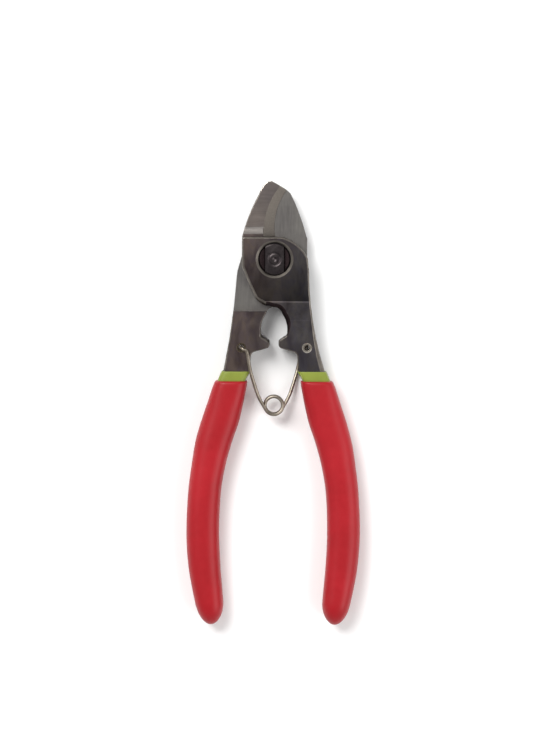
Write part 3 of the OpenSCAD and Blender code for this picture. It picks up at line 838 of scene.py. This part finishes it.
def head_mesh(name, turned, low, face, shaft):
    """A round head drawn as a sheet of columns over its disc, with its side wall and its shaft or hole."""
    rows, outer_columns, almost_all = 60, 14, 0.9995
    edge = FLAT_HALF_WIDTH
    inner = [edge * k / 26 for k in range(-24, 25)]
    step = [edge + shift for shift in (-FLAT_SLOPE, -0.09, -0.04, 0, 0.04, 0.09, FLAT_SLOPE)]
    shares = [math.sin(math.pi / 2 * k / outer_columns) for k in range(outer_columns)]
    outer = [mix(edge + 0.2, HEAD_RADIUS, share) for share in shares]
    side = step + outer + [HEAD_RADIUS * almost_all]
    xs = sorted([-x for x in side] + inner + side)
    points, faces = [], []
    for x in xs:
        reach = math.sqrt(max(0.0, HEAD_RADIUS ** 2 - x * x))
        for k in range(rows + 1):
            y = reach * math.sin(math.pi / 2 * (2 * k / rows - 1))
            points.append((x, y, head_height(x, y, face, not turned)))
    width = rows + 1
    for i in range(len(xs) - 1):
        for k in range(rows):
            a = i * width + k
            faces.append((a, a + width, a + width + 1, a + 1))
    border = list(range(width))
    border += [i * width + rows for i in range(1, len(xs))]
    border += [(len(xs) - 1) * width + k for k in range(rows - 1, -1, -1)]
    border += [i * width for i in range(len(xs) - 2, 0, -1)]
    first = len(points)
    points += [(points[b][0], points[b][1], low) for b in border]
    count = len(border)
    for k in range(count):
        n = (k + 1) % count
        faces.append((border[k], border[n], first + n, first + k))
    for radius, z in shaft:
        below = len(points)
        for x, y, _ in points[first:first + count]:
            points.append((x * radius / math.hypot(x, y), y * radius / math.hypot(x, y), z))
        for k in range(count):
            n = (k + 1) % count
            faces.append((first + k, first + n, below + n, below + k))
        first = below
    points.append((0, 0, shaft[-1][1]))
    faces += [(first + k, first + (k + 1) % count, len(points) - 1) for k in range(count)]
    mesh = mesh_of(name, [place(p, turned) for p in points], faces, 40)
    for f in mesh.polygons:
        c = unplace(f.center, turned)
        sunken = abs(c.x) > FLAT_HALF_WIDTH + 0.1 and math.hypot(c.x, c.y) < HEAD_RADIUS - 0.25
        # Faces in the wrench recesses get the second material, almost black steel as painted shade
        f.material_index = 1 if sunken and c.z > low + 0.1 else 0
    return mesh


shoulder = COUNTERBORE_DEPTH - BOSS_THICKNESS
shaft = [
    (SHAFT_RADIUS, HEAD_BOTTOM), (SHAFT_RADIUS, shoulder), (THREAD_RADIUS, shoulder),
    (THREAD_RADIUS, THREAD_END + 0.2), (THREAD_RADIUS - 0.2, THREAD_END),
]
bolt = head_mesh("bolt", False, HEAD_BOTTOM, HEAD_TOP, shaft)
nut_hole = [(THREAD_RADIUS + THREAD_GAP, z) for z in (NUT_BOTTOM, 0.15 - THREAD_END)]
nut = head_mesh("nut", True, NUT_BOTTOM, NUT_TOP, nut_hole)
for cad, mesh in (("pivot_bolt", bolt), ("pivot_nut", nut)):
    add_object(f"{cad}_steel", mesh, [PIVOT_STEEL, RECESS], "rear_lever_body", "pivot_steel", cad)
washer = NODE["pivot_washer"]
washer.data.materials.clear()
washer.data.materials.append(PIVOT_STEEL)


# ---------------------------------------------------------------- spring

def curve_point(p, i, t):
    """Point on a smooth curve through the points p, at share t of the way from p[i] to p[i + 1]."""
    a, b, c, d = p[i - 1], p[i], p[i + 1], p[i + 2]
    return (2 * b + (c - a) * t + (2 * a - 5 * b + 4 * c - d) * t ** 2 + (3 * b - a - 3 * c + d) * t ** 3) / 2


def wire_path():
    """Middle line of one half of the spring: hook in its hole, leg, and turns of the coil."""
    hook_steps, bend_steps, leg_steps, coil_steps = 8, 13, 10, 120
    sinking_share = 0.6
    coil = Vector((0, -COIL_DROP, 0))
    hole = Vector((*HOLE, 0))
    knots = [Vector((*k, 0)) for k in LEG_KNOTS]
    last = knots[-1] - coil
    touch_angle = math.atan2(last.y, last.x) - math.acos(COIL_RADIUS / last.length)
    touch = coil + COIL_RADIUS * Vector((math.cos(touch_angle), math.sin(touch_angle), 0))
    along = (knots[0] - hole).normalized()
    places = [hole, hole + along, *knots, touch, touch + (touch - knots[-1]).normalized()]
    turn = 2 * math.pi + math.pi / 2 + touch_angle
    rise = COIL_PITCH * turn / (2 * math.pi)
    coil_z = -COIL_PITCH / 2 - rise
    path = []
    for k in range(hook_steps):
        z = mix(HOOK_DEPTH, HOOK_BEND, k / hook_steps) - LEG_HEIGHT
        path.append(hole + Vector((0, 0, z)))
    for k in range(bend_steps):
        a = math.pi / 2 * k / bend_steps
        bend = along * (1 - math.cos(a)) + Vector((0, 0, 1 - math.sin(a)))
        path.append(hole + HOOK_BEND * bend - Vector((0, 0, LEG_HEIGHT)))
    spans = len(places) - 3
    for i in range(1, spans + 1):
        for k in range(leg_steps):
            t = (i - 1 + k / leg_steps) / spans
            z = mix(coil_z, -LEG_HEIGHT, smooth((1 - t) / sinking_share))
            path.append(curve_point(places, i, k / leg_steps) + Vector((0, 0, z)))
    for k in range(coil_steps + 1):
        a = touch_angle - turn * k / coil_steps
        z = coil_z + rise * k / coil_steps
        path.append(coil + COIL_RADIUS * Vector((math.cos(a), math.sin(a), 0)) + Vector((0, 0, z)))
    return path


def swept(name, path, radius, sides, turned):
    """A round wire along a path, with softened ends."""
    end_length, end_scale = 0.12, 0.7
    rings = []
    last = len(path) - 1
    side = Vector((1, 0, 0))
    for i, middle in enumerate(path):
        heading = (path[min(i + 1, last)] - path[max(i - 1, 0)]).normalized()
        side = (side - heading * side.dot(heading)).normalized()
        up = heading.cross(side)
        stations = [(0.0, 1.0)]
        if i == 0:
            stations = [(0.0, end_scale), (end_length, 1.0)]
        elif i == last:
            stations = [(-end_length, 1.0), (0.0, end_scale)]
        for shift, scale in stations:
            rings.append([
                middle + heading * shift + radius * scale
                * (math.cos(2 * math.pi * k / sides) * side + math.sin(2 * math.pi * k / sides) * up)
                for k in range(sides)
            ])
    return loft(name, rings, turned)


for turned, name in ((False, "right"), (True, "left")):
    wire = swept(f"{name}_wire", wire_path(), WIRE_RADIUS, 18, turned)
    add_object(f"spring_{name}_wire", wire, [WIRE], f"spring_{name}", "spring_wire", f"spring_{name}_half")


# ---------------------------------------------------------------- grips

def oval(d, w, h, roundness, sides):
    """Ring of half width w and half height h at distance d down a handle, squarer as roundness grows."""
    ring = []
    for k in range(sides):
        c, s = math.cos(2 * math.pi * k / sides), math.sin(2 * math.pi * k / sides)
        x = w * math.copysign(abs(c) ** (2 / roundness), c)
        z = h * math.copysign(abs(s) ** (2 / roundness), s)
        ring.append(Vector((handle(d, 1) + x, -d, z)))
    return ring


def tang_ring(d, sides):
    """Ring round the tang's own square section."""
    ring = []
    for k in range(sides):
        c, s = math.cos(2 * math.pi * k / sides), math.sin(2 * math.pi * k / sides)
        reach = max(abs(c), abs(s))
        ring.append(Vector((handle(d, 1) + handle(d, 3) * c / reach, -d, HALF_SHANK * s / reach)))
    return ring


def coat_rings(coat, sides):
    """Rings of the undercoat's hidden part, from inside the cover's mouth to its rounded end."""
    inside_mouth, steps = COVER_START + 1.2, 24
    turn = UNDERCOAT_END - END_ROUND
    places = [mix(inside_mouth, turn, k / steps) for k in range(steps + 1)]
    places += [UNDERCOAT_END - END_ROUND * (1 - math.sin(math.radians(a))) for a in range(10, 90, 10)]
    rings = []
    for d in places:
        t = max(0.0, (d - turn) / END_ROUND)
        scale = math.sqrt(1 - t * t)
        rings.append(oval(d, (handle(d, 3) + coat) * scale, (HALF_SHANK + coat) * scale, 5, sides))
    return rings


def wavy(ring, depth, scale, seed):
    """The slight unevenness of a dipped coat, kept inside the ring."""
    centre = sum(ring, Vector()) / len(ring)
    moved = []
    for p in ring:
        out = p - centre
        n = noise.noise(p * scale + Vector((seed, 0, 0)))
        moved.append(p - out.normalized() * depth * (0.5 + 0.5 * n))
    return moved


def cover_mesh(name, turned, seed):
    """Thick outer sock: inside from its far end to the mouth, then a rolled lip, then the outside."""
    sides, lip_steps, body_steps, end_steps = 72, 8, 90, 18
    mouth_square, lip_square, body_square, end_square = 4.2, 3.2, 2.6, 2.1
    wave_depth, wave_scale = 0.07, 0.16
    inner = coat_rings(UNDERCOAT_THICKNESS, sides)[::-1]
    inner_w, inner_h = handle(COVER_START, 3) + UNDERCOAT_THICKNESS, HALF_SHANK + UNDERCOAT_THICKNESS
    rings = []
    for k in range(lip_steps + 1):
        a = math.pi / 2 * k / lip_steps
        rings.append(oval(
            COVER_START + LIP * (1 - math.cos(a)) ** 1.5,
            mix(inner_w, handle(COVER_START, 2) - 0.02, math.sin(a)),
            mix(inner_h, HALF_GRIP, math.sin(a)),
            mix(mouth_square, lip_square, k / lip_steps), sides,
        ))
    for k in range(1, body_steps + 1):
        d = mix(COVER_START + LIP, GRIP_END - END_ROUND, k / body_steps)
        rings.append(oval(d, handle(d, 2), HALF_GRIP, mix(lip_square, body_square, smooth(k / 14)), sides))
    for k in range(1, end_steps):
        a = math.pi / 2 * k / end_steps
        d = GRIP_END - END_ROUND * (1 - math.sin(a))
        scale = math.cos(a)
        square = mix(body_square, end_square, k / end_steps)
        rings.append(oval(d, handle(d, 2) * scale, HALF_GRIP * scale, square, sides))
    rings = rings[:1] + [wavy(r, wave_depth, wave_scale, seed) for r in rings[1:]]
    return loft(name, inner + rings, turned, 60)


def undercoat_mesh(name, turned, seed):
    """Thin inner sock: close round the tang inside, with an uneven lip where the dip stopped."""
    sides, inner_steps, wave_depth, wave_scale = 96, 20, 0.12, 0.9
    inner_end, lip_rings = 33.4, 6
    inner = [tang_ring(mix(TANG_REACH, inner_end, k / inner_steps), sides) for k in range(inner_steps + 1)]
    rings = []
    for d, out in (
        (32.92, 0.0), (32.84, 0.12), (32.8, 0.24), (32.84, 0.36), (32.94, 0.43),
        (33.1, 0.45), (33.6, 0.45), (34.4, 0.45), (35.2, 0.45), (35.8, 0.45),
    ):
        rings.append(oval(d, handle(d, 3) + out, HALF_SHANK + out, 5.0 if out > 0 else 6.5, sides))
    for ring in rings[:lip_rings]:
        for p in ring:
            n = noise.noise(Vector((p.x, p.z, 0)) * wave_scale + Vector((seed, 3, 0)))
            p.y -= wave_depth * (0.5 + 0.5 * n)
    return loft(name, inner + rings + coat_rings(UNDERCOAT_THICKNESS - 0.02, sides), turned, 60)


for turned, name, seed in ((False, "right", 3.1), (True, "left", 7.7)):
    body = "rear_lever_body" if turned else "front_lever_body"
    add_object(
        f"{name}_grip_vinyl", cover_mesh(f"{name}_cover", turned, seed), [RED], body, "grip_cover",
        f"{name}_grip_cover",
    )
    add_object(
        f"{name}_undercoat_vinyl", undercoat_mesh(f"{name}_undercoat", turned, seed), [GREEN], body,
        "grip_undercoat", f"{name}_grip_undercoat",
    )


# ---------------------------------------------------------------- studio

def floor():
    """Plain pale floor, a hair below the tool so that no face lies in it."""
    size, drop = 2.5, 0.2 * MM
    bm = bmesh.new()
    bmesh.ops.create_grid(bm, x_segments=8, y_segments=8, size=size)
    mesh = bpy.data.meshes.new("floor")
    bm.to_mesh(mesh)
    bm.free()
    t = Tree("studio_floor", (0.90, 0.90, 0.89), 0.0, 0.65)
    t.colour(t.ramp(t.noise(0.01, 2, 0.5), [(0.3, (0.89, 0.89, 0.88)), (0.7, (0.91, 0.91, 0.90))]))
    mesh.materials.append(t.material)
    o = bpy.data.objects.new("floor", mesh)
    o.location = (0, 0, -drop)
    bpy.context.scene.collection.objects.link(o)


def area_light(name, at, target, size, power, colour=(1, 1, 1)):
    """A rectangular light that faces its target."""
    data = bpy.data.lights.new(name, "AREA")
    data.shape, data.size, data.size_y = "RECTANGLE", size[0], size[1]
    data.energy, data.color = power, colour
    o = bpy.data.objects.new(name, data)
    o.location = at
    o.rotation_mode = "QUATERNION"
    o.rotation_quaternion = (Vector(target) - Vector(at)).to_track_quat("-Z", "Y")
    bpy.context.scene.collection.objects.link(o)


def camera():
    """Nearly straight on to the front face, from a little towards the tips."""
    data = bpy.data.cameras.new("camera")
    sensor, image_height, pixel = 36, 733, 0.2923 * MM
    distance, tilt, roll = 1.6, math.radians(3.5), math.radians(0.3)
    data.sensor_width = sensor
    data.lens = sensor * distance / (image_height * pixel)
    data.clip_start, data.clip_end = 0.05, 20
    o = bpy.data.objects.new("camera", data)
    target = PIVOT + Vector((1.0 * pixel, -107.9 * pixel, 0))
    back = Vector((0, math.sin(tilt), math.cos(tilt)))
    o.location = target + back * distance
    right = Vector((math.cos(roll), math.sin(roll), 0))
    up = back.cross(right).normalized()
    right = up.cross(back).normalized()
    o.rotation_mode = "QUATERNION"
    o.rotation_quaternion = Matrix((right, up, back)).transposed().to_quaternion()
    bpy.context.scene.collection.objects.link(o)
    bpy.context.scene.camera = o


def world():
    """Soft light from all round, paler at the horizon than overhead."""
    w = bpy.data.worlds.new("studio")
    w.use_nodes = True
    bpy.context.scene.world = w
    nodes, links = w.node_tree.nodes, w.node_tree.links
    background = nodes["Background"]
    place = nodes.new("ShaderNodeTexCoord")
    split = nodes.new("ShaderNodeSeparateXYZ")
    ramp = nodes.new("ShaderNodeValToRGB")
    links.new(place.outputs["Generated"], split.inputs[0])
    links.new(split.outputs["Z"], ramp.inputs["Fac"])
    horizon, overhead = ramp.color_ramp.elements
    horizon.position, horizon.color = 0.2, (1.0, 1.0, 1.0, 1)
    overhead.position, overhead.color = 0.95, (0.28, 0.28, 0.29, 1)
    links.new(ramp.outputs["Color"], background.inputs["Color"])
    background.inputs["Strength"].default_value = 0.9


floor()
world()
area_light("key", (-0.35, 0.45, 0.75), (0, 0, 0), (0.5, 0.5), 9)
area_light("fill", (0.6, -0.2, 0.6), (0, 0, 0), (0.6, 0.6), 4)
camera()
bpy.context.scene.view_settings.view_transform = "Standard"
